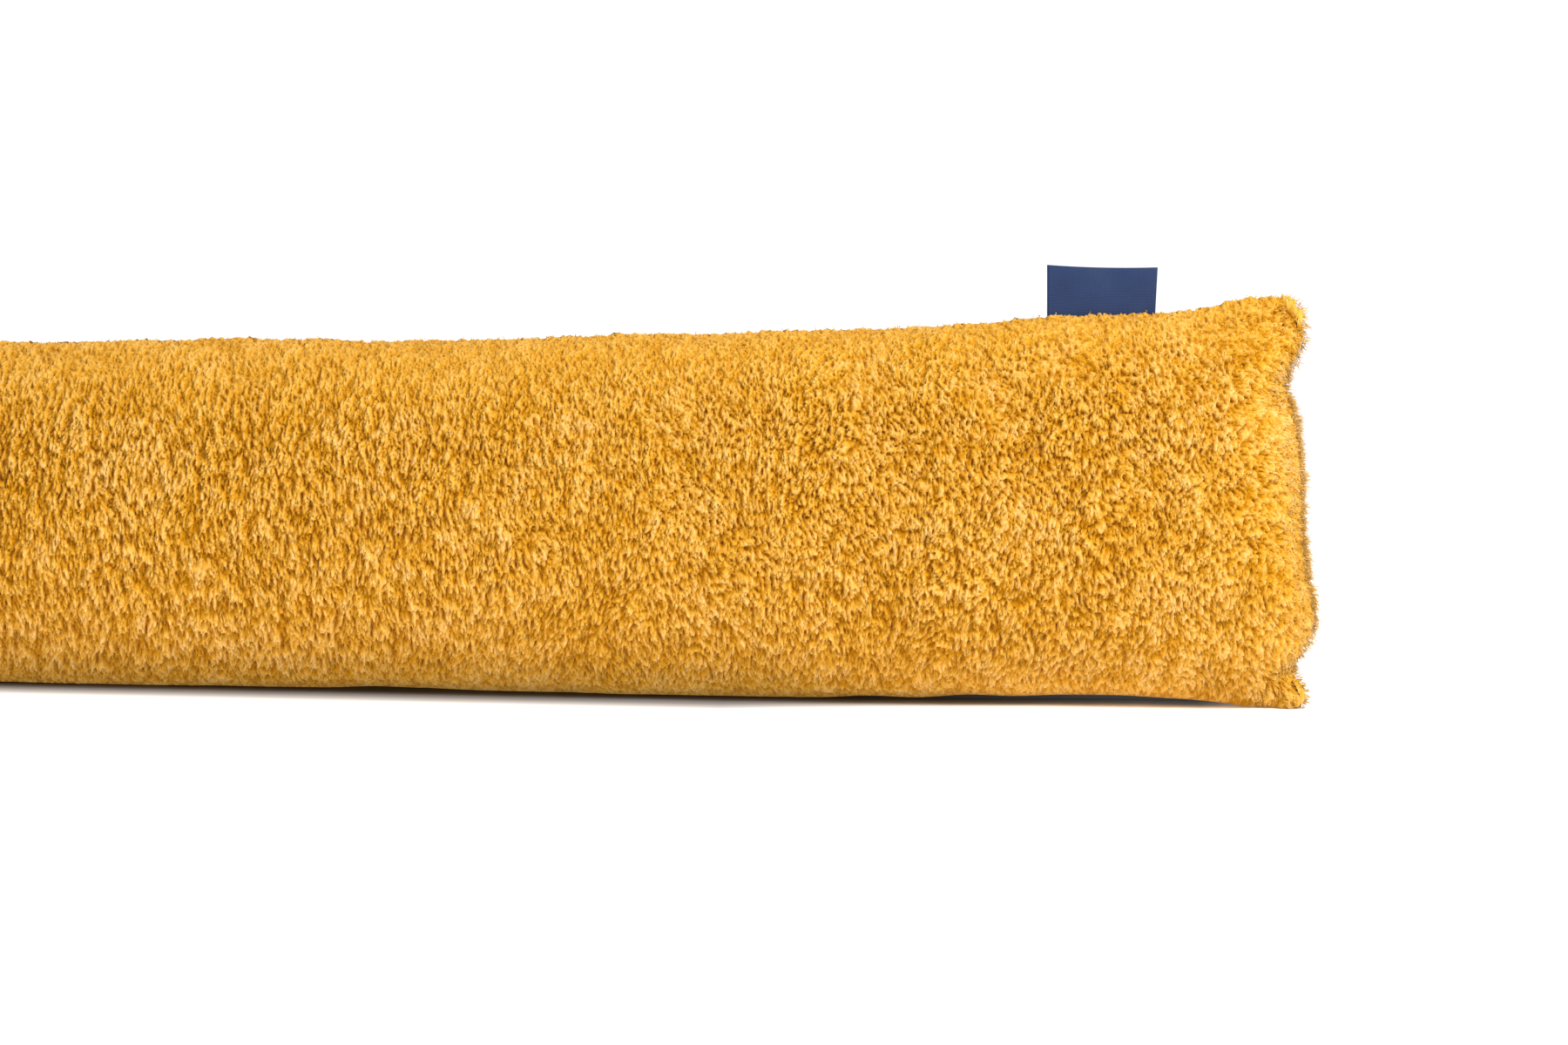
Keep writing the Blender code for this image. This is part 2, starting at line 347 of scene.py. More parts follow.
# %% Helpers that make mesh pieces
def new_piece(name, points, faces, uv, values=None):
    """A mesh object at the origin from points, a list of face arrays (each of one face
    size), a UV pair for each point and named values for each point. Points that no face
    uses are left out."""
    used = np.unique(np.concatenate([group.ravel() for group in faces]))
    number = np.zeros(len(points), np.int64)
    number[used] = np.arange(len(used))
    points, uv, faces = points[used], uv[used], [number[group] for group in faces]
    mesh = bpy.data.meshes.new(name)
    corners = np.concatenate([group.ravel() for group in faces]).astype(np.int32)
    sizes = np.concatenate([np.full(len(group), group.shape[1]) for group in faces])
    starts = np.concatenate([[0], np.cumsum(sizes)[:-1]]).astype(np.int32)
    mesh.vertices.add(len(points))
    mesh.vertices.foreach_set("co", np.ascontiguousarray(points, np.float32).ravel())
    mesh.loops.add(len(corners))
    mesh.loops.foreach_set("vertex_index", corners)
    mesh.polygons.add(len(sizes))
    mesh.polygons.foreach_set("loop_start", starts)
    mesh.update(calc_edges=True)
    layer = mesh.uv_layers.new(name="cloth")
    layer.data.foreach_set("uv", np.ascontiguousarray(uv[corners], np.float32).ravel())
    for value_name, value in (values or {}).items():
        attribute = mesh.attributes.new(value_name, "FLOAT", "POINT")
        attribute.data.foreach_set("value", np.ascontiguousarray(value.ravel()[used], np.float32))
    mesh.shade_smooth()
    mesh.validate()
    piece = bpy.data.objects.new(name, mesh)
    bpy.context.scene.collection.objects.link(piece)
    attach(piece, "root")
    return piece


def ring_faces(rows, around, zipped=False):
    """Quads between closed rings of points, numbered row by row. A zipped skin ends in
    flat rings, whose back half uses the points of the front half."""
    number = np.arange(rows * around).reshape(rows, around)
    if zipped:
        half = around // 2
        number[[0, -1], half + 1 :] = number[[0, -1], half - 1 : 0 : -1]
    ahead = np.roll(number, -1, axis=1)
    return np.stack([number[:-1], ahead[:-1], ahead[1:], number[1:]], axis=-1).reshape(-1, 4)


def triangle_count(piece):
    piece.data.calc_loop_triangles()
    return len(piece.data.loop_triangles)


# %% [markdown]
# ## Shader maths as Python expressions
#
# A material is a graph of nodes. Written node by node, even a short formula is hard
# to read. The small class below wraps a socket, so that `1 - mask` or `a * b + c`
# adds the Math nodes by itself.

# %% Wires and materials
class Wire:
    """An output socket that takes part in sums. Numbers stay numbers until they meet
    a wire."""

    def __init__(self, paint, socket):
        self.paint = paint
        self.socket = socket

    def math(self, operation, *values):
        inputs = dict(enumerate(values))
        return self.paint.node("ShaderNodeMath", {"operation": operation}, inputs)

    def __add__(self, other):
        return self.math("ADD", self, other)

    def __sub__(self, other):
        return self.math("SUBTRACT", self, other)

    def __rsub__(self, other):
        return self.math("SUBTRACT", other, self)

    def __mul__(self, other):
        return self.math("MULTIPLY", self, other)

    __radd__ = __add__
    __rmul__ = __mul__


class Paint:
    """One material. node() is the only way in which its nodes are made."""

    def __init__(self, name):
        self.material = bpy.data.materials.new(name)
        self.material.use_nodes = True
        self.tree = self.material.node_tree
        self.tree.nodes.clear()

    def node(self, kind, settings=None, values=None, output=0):
        made = self.tree.nodes.new(kind)
        for name, value in (settings or {}).items():
            if name == "stops":
                while len(made.color_ramp.elements) < len(value):
                    made.color_ramp.elements.new(1.0)
                for element, (position, colour) in zip(made.color_ramp.elements, value):
                    element.position = position
                    element.color = (*colour, 1.0)
            else:
                setattr(made, name, value)
        for name, value in (values or {}).items():
            if isinstance(value, Wire):
                self.tree.links.new(value.socket, made.inputs[name])
            else:
                made.inputs[name].default_value = value
        return Wire(self, made.outputs[output])

    def mix(self, factor, first, second, blend="MIX"):
        settings = {"data_type": "RGBA", "blend_type": blend}
        return self.node("ShaderNodeMix", settings, {0: factor, 6: first, 7: second}, 2)

    def uv(self):
        return self.node("ShaderNodeUVMap", {"uv_map": "cloth"})

    def noise(self, place, scale, **more):
        return self.node("ShaderNodeTexNoise", {}, {"Vector": place, "Scale": scale, **more})

    def ramp(self, level, stops):
        return self.node("ShaderNodeValToRGB", {"stops": stops}, {"Fac": level})

    def bump(self, height, strength, distance):
        values = {"Height": height, "Strength": strength, "Distance": distance}
        return self.node("ShaderNodeBump", {}, values)

    def finish(self, colour, roughness, normal=None, fixed=None):
        values = {"Base Color": colour, "Roughness": roughness, **(fixed or {})}
        if normal is not None:
            values["Normal"] = normal
        shader = self.node("ShaderNodeBsdfPrincipled", {}, values)
        output = self.tree.nodes.new("ShaderNodeOutputMaterial")
        self.tree.links.new(shader.socket, output.inputs["Surface"])
        return self.material


# %% [markdown]
# ## The finish of the fleece, with painted light and shade
#
# The same yarn is pale where light reaches its tips and a deep, saturated orange down
# between the locks, because light that bounces from fibre to fibre loses its blue and
# green first. So the colour is painted light and shade: it follows the height of the
# pile, which each mesh carries as a value at its points, pale at the tips and dark in
# the pits. A noise finer than the mesh adds single fibres, as colour and as bump. A
# little sheen stands for the finest ones, which catch light at the edges.

# %% Fleece finish, with painted light and shade
# Colours from pit to tip: painted shade down between the locks, painted light at the tips.
PIT_SHADE_COLOUR = (0.31, 0.110, 0.0001)
ROOT_SHADE_COLOUR = (0.43, 0.178, 0.0008)
BODY_COLOUR = (0.58, 0.292, 0.030)
TIP_LIGHT_COLOUR = (0.70, 0.430, 0.155)
FIBRE_SCALE = 1450.0  # of the noise for single fibres
PATCH_SCALE = 22.0  # of the noise for paler and darker patches
SHADE_BY_HEIGHT_SHARE = 0.80  # how much the height of the pile changes the colour
FIBRE_SHARE = 0.62
PATCH_SHARE = 0.36
COLOUR_SHIFT = 0.385  # a higher value makes all of it darker


def fleece_paint():
    paint = Paint("teddy fleece")
    place = paint.uv()
    drawn_out = paint.node("ShaderNodeMapping", {}, {"Vector": place, "Scale": (1.0, 0.72, 1.0)})
    fibre = paint.noise(drawn_out, FIBRE_SCALE, Detail=1.5, Distortion=0.6)
    patch = paint.noise(place, PATCH_SCALE, Detail=3.0)
    high = paint.node("ShaderNodeAttribute", {"attribute_name": "pile_height"}, {}, "Fac")
    # The height of the pile sets painted shade in the pits and painted light at the tips.
    level = high * SHADE_BY_HEIGHT_SHARE + fibre * FIBRE_SHARE + patch * PATCH_SHARE - COLOUR_SHIFT
    stops = [(0.08, PIT_SHADE_COLOUR), (0.36, ROOT_SHADE_COLOUR), (0.64, BODY_COLOUR), (1.0, TIP_LIGHT_COLOUR)]
    fixed = {
        "Specular IOR Level": 0.04,
        "Sheen Weight": 0.14,
        "Sheen Roughness": 0.45,
        "Sheen Tint": (1.0, 0.88, 0.62, 1.0),
    }
    bump = paint.bump(fibre, 0.9, 0.0009)
    return paint.finish(paint.ramp(level, stops), 0.95, normal=bump, fixed=fixed)


fleece = fleece_paint()

# %% [markdown]
# ## The lie of the pile
#
# The pile has a lie. On this tube it hangs down the panels, wanders from side to
# side, and is brushed outward near the ends. Towards the label the locks are curlier
# and point in all directions. A smooth noise turns the combing direction, so that
# neighbouring locks nearly agree.
#
# From here on a place on the cloth is (x, s), where s is the distance round the tube
# from the top seam, positive down the front and negative down the back.

# %% Combing direction
WANDER_LEFT = 0.42  # radians
WANDER_RIGHT = 0.80
WAVES = ((0.9, 0.030, 31), (0.9, 0.009, 32))
BRUSHED_OUT = 0.050  # length of the brushed stretch at each end
BRUSHED_TURN = 1.25  # radians


def curlier(x):
    """0 where the pile hangs straight, 1 where it curls."""
    return np.clip((x + 0.05) / 0.30, 0.0, 1.0)


def cloth_place(x, s):
    return np.stack([x, s, np.zeros_like(x)], axis=-1)


def combing(x, s):
    """The angle from straight down the panel to the lie of the pile, positive towards
    +X: a broad noise plus a finer one, and a turn outward near the ends."""
    place = cloth_place(x, s)
    wander = WANDER_LEFT + (WANDER_RIGHT - WANDER_LEFT) * curlier(x)
    waves = summed_noise(place, WAVES)
    near = np.exp(-(END_SEAM - np.abs(x)).clip(0) / BRUSHED_OUT)
    upper = np.clip(1.3 - np.abs(s) / 0.14, 0.0, 1.0)
    return wander * waves + BRUSHED_TURN * near * upper * np.sign(x)


# %% [markdown]
# ## The relief of the pile
#
# There are about 150,000 locks on the cover. As separate meshes they would be far too
# heavy, and thin ones look like grass. But from outside only their upper sides show.
# So the pile is made as relief: each lock is a long, low hill that rises to its tip,
# and the surface is the highest hill at each place. Where two locks meet there is a
# crease, and under each tip a small step, as between shingles.
#
# The locks stand on a lattice with shifted centres. A whole grid of places looks up
# its neighbouring cells at once, so there is no loop over locks.

# %% Locks as hills
LOCK_WIDE = 0.00125  # one lock for each cell of this width and height
LOCK_TALL = 0.0020
LOCK_HALF_LENGTH = 0.0016
LOCK_HALF_WIDTH = 0.00060
SCATTER = 0.8  # how far the centres stray, in cells
TWIST = 1.2  # how much the directions differ
OWN_BASE = 0.50  # the highest base that a lock has
RISE = 0.34  # from the middle of a lock to its tip
CROWN = 0.55  # from its middle line to its sides
NARROWING = 0.3
END_DROP = 1.2
TUFT = 0.0021  # size of the tufts in which locks hang together
TUFT_SHARE = 0.42
LOCK_SHARE = 0.58
BROAD_SHARE = 0.09
BROAD = 0.0085


def lattice_value(i, j, seed):
    """A random value from 0 to 1 for each cell of a lattice."""
    values = np.random.default_rng(seed).uniform(0, 1, 4096)
    return values[(i * 73856093 ^ j * 19349663) & 4095]


def highest_lock(x, s, angle):
    """The height of the highest hill at each place. A hill is a base of its own, plus
    a rise along the lock, less a parabola across it, less a second one past its ends.
    It narrows to its tip."""
    cos, sin = np.cos(angle), np.sin(angle)
    best = np.full(x.shape, -9.0)
    j0 = np.floor(s / LOCK_TALL).astype(np.int64)
    for dj in (-1, 0, 1):
        j = j0 + dj
        i0 = np.floor(x / LOCK_WIDE - 0.5 * (j & 1)).astype(np.int64)
        for di in (-2, -1, 0, 1, 2):
            i = i0 + di
            shift_x = 0.5 + 0.5 * (j & 1) + SCATTER * (lattice_value(i, j, 51) - 0.5)
            shift_s = 0.5 + SCATTER * (lattice_value(i, j, 52) - 0.5)
            dx, ds = x - (i + shift_x) * LOCK_WIDE, s - (j + shift_s) * LOCK_TALL
            own, turn = lattice_value(i, j, 53), TWIST * (lattice_value(i, j, 54) - 0.5)
            down, aside = cos - turn * sin, sin + turn * cos
            u = (ds * down + dx * aside) / (LOCK_HALF_LENGTH * (0.7 + 0.6 * own))
            half_width = LOCK_HALF_WIDTH * (0.75 + 0.5 * lattice_value(i, j, 55))
            v = (dx * down - ds * aside) / half_width
            slope = np.clip(u, -1.0, 1.0)
            past = np.clip(np.abs(u) - 0.55, 0.0, 9.0)
            hill = OWN_BASE * own + RISE * slope
            hill = hill - CROWN * (v * (1 + NARROWING * slope)) ** 2 - END_DROP * past**2
            best = np.maximum(best, hill)
    return best


def pile_height(x, s, angle):
    """The height of the pile, from 0 in the deepest pit to about 1: the locks on top of
    the tufts. Tufts are noise in two sizes, drawn out downwards where the pile hangs."""
    place = cloth_place(x, s)
    even = summed_noise(place * (1.3, 0.90, 1.0), ((1.0, TUFT, 41), (0.5, TUFT / 2, 42)))
    streaked = summed_noise(place * (1.35, 0.55, 1.0), ((1.0, TUFT, 43), (0.5, TUFT / 2, 44)))
    mixed = streaked + (even - streaked) * curlier(x)
    tufts = np.clip((mixed + 0.50) / 0.85, 0.0, 1.0)
    locks = np.clip(highest_lock(x, s, angle) + 0.32, 0.0, 1.0)
    broad = soft_noise(place, BROAD, 45)
    high = 0.04 + TUFT_SHARE * tufts + LOCK_SHARE * locks + BROAD_SHARE * broad
    return np.clip(high, 0.0, 1.1)


# %% [markdown]
# ## The filled tube
#
# Inside the panels lies the filled tube itself: the backing with the filling in it, a
# closed, padded form. It replaces the plain solid of the cover, and it is what one
# would see through a gap in the pile.

# %% Filled tube
FLOOR_CLEARANCE = 0.0004
FILLED_LEVEL = 0.0004


def make_filled():
    """The skin just over the backing, with the unevenness of a filling by hand."""
    grid = skin(FILLED_LEVEL, 0.0040, 0.006, np.linspace(0.0, 1.0, 33))
    grid = hand_filled(grid, outward(grid))
    grid[:, :, 2] = np.maximum(grid[:, :, 2], FLOOR_CLEARANCE)
    rows, around = grid.shape[:2]
    faces = ring_faces(rows, around, zipped=True)
    points = grid.reshape(-1, 3)
    return new_piece("filled_tube", points, [faces], points[:, [0, 2]])


filled = make_filled()
# The filled tube carries no pile height, so the fleece colours it as dark as a pit: painted shade
# for what shows through gaps in the pile.
filled.data.materials.append(fleece)
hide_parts("cover")
print("filled tube:", triangle_count(filled), "triangles")

# %% [markdown]
# ## The two panels
#
# Each panel is a closed slab: the relief of the pile outside, the backing inside, and
# narrow sides between them. A panel is cut across into stretches, so that no piece is
# too heavy to open. The front has the finest grid where one looks at it closely.
#
# Neighbouring stretches share their cut. Their shading normals are worked out on the
# whole panel before it is cut, so no line shows there.

# %% Panel helpers
ROOT_LEVEL = 0.0016
RELIEF = 0.0048
LEAN = 0.35  # how far the tips lie over, against their height
INNER_COLUMNS = 9


def sheet_normals(grid):
    """Unit normals of an open grid: the cross product of the way down the panel and
    the way along the tube."""
    return unit(np.cross(np.gradient(grid, axis=1), np.gradient(grid, axis=0)))


def quads(number):
    """Quads between the points of a grid of point numbers."""
    corners = [number[:-1, :-1], number[:-1, 1:], number[1:, 1:], number[1:, :-1]]
    return np.stack(corners, axis=-1).reshape(-1, 4)


def make_slab(name, outer, inner, normals, uv, high):
    """A closed slab from an outer grid and a coarser inner one with as many rows. Strips
    join their first and last columns, and one polygon closes each end."""
    rows, columns = outer.shape[:2]
    count, few = rows * columns, inner.shape[1]
    over = np.arange(count).reshape(rows, columns)
    under = count + np.arange(rows * few).reshape(rows, few)
    first = quads(np.stack([under[:, 0], over[:, 0]], axis=1))
    last = quads(np.stack([over[:, -1], under[:, -1]], axis=1))
    faces = np.vstack([quads(over), quads(under)[:, ::-1], first, last])
    start = np.concatenate([over[0, ::-1], under[0]])[None]
    end = np.concatenate([over[-1], under[-1, ::-1]])[None]
    points = np.vstack([outer.reshape(-1, 3), inner.reshape(-1, 3)])
    uv = np.vstack([uv.reshape(-1, 2), np.zeros((rows * few, 2))])
    # The inner side gets height 0: the dark colour of a pit, painted shade.
    values = {"pile_height": np.concatenate([high.ravel(), np.zeros(rows * few)])}
    piece = new_piece(name, points, [faces, start, end], uv, values)
    inside = -normals[:, np.linspace(0, columns - 1, few).astype(int)]
    shading = np.vstack([normals.reshape(-1, 3), inside.reshape(-1, 3)])
    piece.data.normals_split_custom_set_from_vertices(shading)
    return piece


# %% Where on the cloth a point lies
SLIT = {"front": 0.006, "back": 0.0025}  # half the width of the slit of an end seam
SLIT_LENGTH = 0.030
END_LENGTH = 0.014


def zones(side, grid, out):
    """Shares from 0 to 1 for every point of a panel: out of the slit of an end seam
    (opened), between the ears of an end (flank), near an end, at an ear, on the end
    face, on top, and on the pressed underside."""
    x = np.abs(grid[..., 0])
    at = SimpleNamespace()
    at.opened = np.clip(np.abs(grid[..., 1]) / SLIT[side], 0.0, 1.0)
    at.opened = np.where(x < END_SEAM - SLIT_LENGTH, 1.0, at.opened)
    at.flank = between_ears(grid[..., 2])
    at.near_end = np.exp(-(END_SEAM - x).clip(0) / END_LENGTH)
    at.ear = (1 - at.flank) * at.near_end
    at.end_face = np.clip(2.5 * np.abs(out[..., 0]) - 1.0, 0.0, 1.0)
    at.top = np.clip((out[..., 2] - 0.35) / 0.5, 0.0, 1.0) * (1 - at.near_end)
    at.pressed = np.clip(-6.0 * out[..., 2] - 4.8, 0.0, 1.0)
    return at


# %% How high the pile stands there
END_HIGH = 0.66  # the pile is evened out to this height on the ends
TOP_HIGH = 0.60  # and to this one on top
RIDGE = 0.10  # the pile is a little higher along the top seam
RIDGE_WIDTH = 0.006
TOP_LIFT = 0.2
EAR_LIFT = 0.0014


def zoned_height(high, at):
    """The height of the pile, almost nothing in the slit of an end seam, and mixed with
    an even height on the end faces and on top."""
    # Where the height drops in the slit, the colour drops to that of a pit as well: painted shade
    # in the seam.
    high = high * (1 - 0.9 * at.flank * (1 - at.opened))
    high = high + (END_HIGH - high) * 0.40 * at.near_end * at.flank * at.opened
    return high + (TOP_HIGH - high) * 0.46 * at.top


def pile_lift(high, s, at):
    """How far the surface lies above the backing: the height of the pile and the ridge,
    or a full height where the underside is pressed flat, and thicker at the ears."""
    ridge = RIDGE * np.exp(-np.abs(s) / RIDGE_WIDTH)
    standing = (high + ridge + TOP_LIFT * at.top) * (1 - at.pressed)
    return RELIEF * (standing + at.pressed) + EAR_LIFT * at.ear


def lie_of_pile(grid, angle):
    """Unit vectors along the lie of the pile: down the panel, turned by the angle."""
    down = unit(np.gradient(grid, axis=1))
    length = np.gradient(grid, axis=0)
    along = unit(length - down * dot(length, down))
    return np.cos(angle)[..., None] * down + np.sin(angle)[..., None] * along


# %% Where loose fibres may grow
FRINGE = {"front": (1.2, 0.2), "back": (3.6, 0.8)}  # weight and extra length on an end face
growing = []  # filled by make_panel


def fibre_weights(side, grid, s, at):
    """How many fibres stand at each point: most at the seams, the ears, the end faces
    and the lower edge, and none underneath, times the area of cloth at that point."""
    weight = 0.4 * np.exp(-np.abs(s) / 0.012) + FRINGE[side][0] * at.end_face + 4.0 * at.ear
    weight = weight + 0.3 * np.exp(-grid[..., 2] / 0.010)
    sides = np.cross(np.gradient(grid, axis=1), np.gradient(grid, axis=0))
    return weight * np.linalg.norm(sides, axis=2) * (at.pressed < 0.2)


def fibre_length_shares(side, x, at):
    return 0.22 + 0.20 * curlier(x) + at.end_face * FRINGE[side][1] + 0.5 * at.ear


# %% Making the panels
SLAB_DEPTH = 0.0008  # how far the inner side lies below the backing
SEAM_TUCK = 0.009  # how far it draws back from an end seam
SEAM_TUCK_LENGTH = 0.004


def backing(side, step, shares):
    """The backing of a panel, from the top seam down, and its outward directions."""
    grid = skin(ROOT_LEVEL, 1.25 * step, step, shares)
    out = outward(grid)
    grid = hand_filled(grid, out)
    last = len(shares) - 1
    columns = np.arange(last + 1) if side == "front" else np.arange(0, -last - 1, -1)
    return grid[:, columns], out[:, columns]


def inner_side(grid, out):
    """The inner side of a panel: the backing moved inward, with fewer columns. It draws
    back from the end seams, so that it doesn't show in their slits."""
    inner = grid - out * SLAB_DEPTH
    x = grid[..., 0]
    tuck = np.exp(-(END_SEAM - np.abs(x)).clip(0) / SEAM_TUCK_LENGTH)
    inner[..., 0] -= np.sign(x) * SEAM_TUCK * tuck
    inner = inner[:, np.linspace(0, grid.shape[1] - 1, INNER_COLUMNS).astype(int)]
    inner[..., 2] = np.maximum(inner[..., 2], FLOOR_CLEARANCE + 0.0001)
    return inner


def make_panel(side, first_x, last_x, names, step, shares):
    """One panel between two places along the tube. Every point of the backing moves out
    by the lift of the pile, and along the lie of the pile by a share of it."""
    grid, out = backing(side, step, shares)
    sign = 1.0 if side == "front" else -1.0
    s = np.broadcast_to(sign * shares * GIRTH / 2, grid.shape[:2])
    x = grid[:, :, 0]
    angle = combing(x, s)
    comb = lie_of_pile(grid, angle)
    at = zones(side, grid, out)
    high = zoned_height(pile_height(x, s, angle), at)
    lift = pile_lift(high, s, at)
    lean = LEAN * lift * (1 - at.pressed) * at.opened
    outer = grid + out * lift[..., None] + comb * lean[..., None]
    outer[..., 2] = np.maximum(outer[..., 2], FLOOR_CLEARANCE)

    weight = fibre_weights(side, grid, s, at) * (x >= first_x) * (x < last_x)
    tall = fibre_length_shares(side, x, at)
    growing.append([part[weight > 0] for part in (outer, out, comb, x, s, high, tall, weight)])

    normals = sign * sheet_normals(outer)
    layers = [outer, inner_side(grid, out), normals, np.stack([x, s], axis=2), high]
    chosen = np.flatnonzero((grid[:, 0, 0] >= first_x - step) & (grid[:, 0, 0] <= last_x + step))
    cuts = np.linspace(chosen[0], chosen[-1], len(names) + 1).astype(int)
    for name, first, final in zip(names, cuts[:-1], cuts[1:]):
        parts = [layer[first : final + 1][:: int(sign)] for layer in layers]
        piece = make_slab(f"{side}_panel_{name}", *parts)
        piece.data.materials.append(fleece)
        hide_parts("cover")
        print(piece.name, triangle_count(piece), "triangles")


# %% Front and back
UNDERSIDE = 0.92  # the share of the way round at which the underside begins
CLOSE_UP = -0.19  # to the left of this the front has a coarser grid
ENDS = (-0.5, 0.5)


def ring_shares(fine, coarse):
    """Shares round half the tube: fine steps down to the underside, then coarse ones."""
    below = np.linspace(UNDERSIDE, 1.0, coarse)[1:]
    return np.concatenate([np.linspace(0.0, UNDERSIDE, fine), below])


fine_ring, coarse_ring = ring_shares(201, 9), ring_shares(131, 9)
near_names = ["middle", "label_side", "right"]
make_panel("front", ENDS[0], CLOSE_UP, ["left"], 0.00140, coarse_ring)
make_panel("front", CLOSE_UP, ENDS[1], near_names, 0.00054, fine_ring)
make_panel("back", *ENDS, ["left", "middle", "right"], 0.00150, coarse_ring)

# %% [markdown]
# ## Loose fibres
#
# A relief has a firm outline, but fleece ends in a soft fringe of single fibres. They
# are added as thin bent spindles of six faces, and only where the outline runs: along
# the top seam, round the ends, at the ears and along the lower edge. All over the
# panels they would look like grass. Their shading normals are mixed with the outward
# direction of the cloth, because real fibres let light through and don't darken on one
# side.

# %% Growing fibres
FIBRES = 26000
FIBRE_HALF_WIDTH = 0.00022
FIBRE_RISE = 0.0030
FIBRE_LENGTH = 0.0018
FIBRE_ROOT = 0.0006  # how deep the root lies below the surface
ROOT_SCATTER = 0.0004
BEND_SCATTER = 0.0003
TIP_SCATTER = 0.0006
FIBRE_FACES = np.array([[2, 1, 0], [3, 2, 0], [1, 3, 0], [1, 2, 4], [2, 3, 4], [3, 1, 4]])
rng = np.random.default_rng(7)


def grow_fibres(count):
    """Points, normals, UV and height of all fibres: a root, three corners where it is
    thickest, and a tip. The tip lies out by the rise and along the lie of the pile by
    the length; the corners lie half-way, higher than the straight line."""
    places = [np.concatenate(parts) for parts in zip(*growing)]
    total = np.cumsum(places.pop())
    chosen = np.searchsorted(total, rng.uniform(0.0, total[-1], count))
    root, out, comb, x, s, high, tall = (part[chosen] for part in places)
    root = root - out * FIBRE_ROOT + rng.normal(0, ROOT_SCATTER, (count, 3))
    rise = FIBRE_RISE * rng.uniform(0.5, 1.3, (count, 1)) * tall[:, None]
    length = FIBRE_LENGTH * rng.uniform(0.2, 1.3, (count, 1))
    stray = rng.normal(0, TIP_SCATTER, (count, 3)) * (0.6 + tall[:, None])
    tip = root + out * rise + comb * length + stray
    bend = root + out * (0.62 * rise) + comb * (0.35 * length)
    bend = bend + rng.normal(0, BEND_SCATTER, (count, 3))
    axis = unit(tip - bend)
    across = unit(np.cross(axis, rng.normal(0, 1, (count, 3))))
    above = np.cross(axis, across)
    spin = np.radians([0.0, 120.0, 240.0])
    corner = np.cos(spin)[:, None] * across[:, None] + np.sin(spin)[:, None] * above[:, None]
    corners = [bend + FIBRE_HALF_WIDTH * corner[:, k] for k in range(3)]
    points = np.stack([root, *corners, tip], axis=1)
    points[..., 2] = np.maximum(points[..., 2], FLOOR_CLEARANCE)
    soft = out[:, None]
    sides, end = unit(0.6 * corner + soft), unit(0.4 * axis[:, None] + soft)
    normals = np.concatenate([soft, sides, end], axis=1)
    uv = np.repeat(np.stack([x, s], axis=1)[:, None], 5, axis=1)
    # These heights set the fibres' colour as painted light: paler towards the tip, and never as
    # dark as a pit.
    height = np.clip(high[:, None] + [0.0, 0.12, 0.12, 0.12, 0.25], 0.45, 1.1)
    return points, normals, uv, height, s


def make_fibres():
    points, normals, uv, height, s = grow_fibres(FIBRES)
    for side, chosen in (("front", s >= 0), ("back", s < 0)):
        flat = points[chosen].reshape(-1, 3)
        faces = (5 * np.arange(len(flat) // 5)[:, None, None] + FIBRE_FACES).reshape(-1, 3)
        values = {"pile_height": height[chosen].ravel()}
        flat_uv = uv[chosen].reshape(-1, 2)
        piece = new_piece(f"{side}_fibres", flat, [faces], flat_uv, values)
        piece.data.normals_split_custom_set_from_vertices(normals[chosen].reshape(-1, 3))
        piece.data.materials.append(fleece)
        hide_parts("cover")
        print(piece.name, triangle_count(piece), "triangles")


make_fibres()

# %% [markdown]
# ## The label
#
# A narrow ribbon, woven in navy satin, folded over and sewn into the top seam. Both
# layers and the fold are one surface: a section of the folded ribbon, carried across
# its width. The ribbon is left bare.

# %% Label sizes and finish
LABEL_THICK = 0.00045
LABEL_GAP = 0.00035  # half the gap between the two layers
LABEL_ROOT = 0.007  # how far it goes down into the pile
RIB_SCALE = 420.0
THREAD_SCALE = 620.0
NAVY_DARK = (0.0043, 0.0122, 0.0455)
NAVY_PALE = (0.0188, 0.0360, 0.0965)


def label_paint():
    paint = Paint("woven satin label")
    place = paint.uv()

    def bands(direction, scale, distortion):
        settings = {"wave_type": "BANDS", "bands_direction": direction}
        values = {"Vector": place, "Scale": scale, "Distortion": distortion, "Detail": 1.0}
        return paint.node("ShaderNodeTexWave", settings, values)

    weave = bands("Y", RIB_SCALE, 0.4) * 0.6 + bands("X", THREAD_SCALE, 0.6) * 0.4
    cloudy = paint.noise(place, 60.0, Detail=2.0)
    colour = paint.ramp(weave * 0.55 + cloudy * 0.40, [(0.15, NAVY_DARK), (0.85, NAVY_PALE)])
    fixed = {"Specular IOR Level": 0.16}
    bump = paint.bump(weave, 0.35, 0.0002)
    return paint.finish(colour, 0.46 + cloudy * 0.12, normal=bump, fixed=fixed)


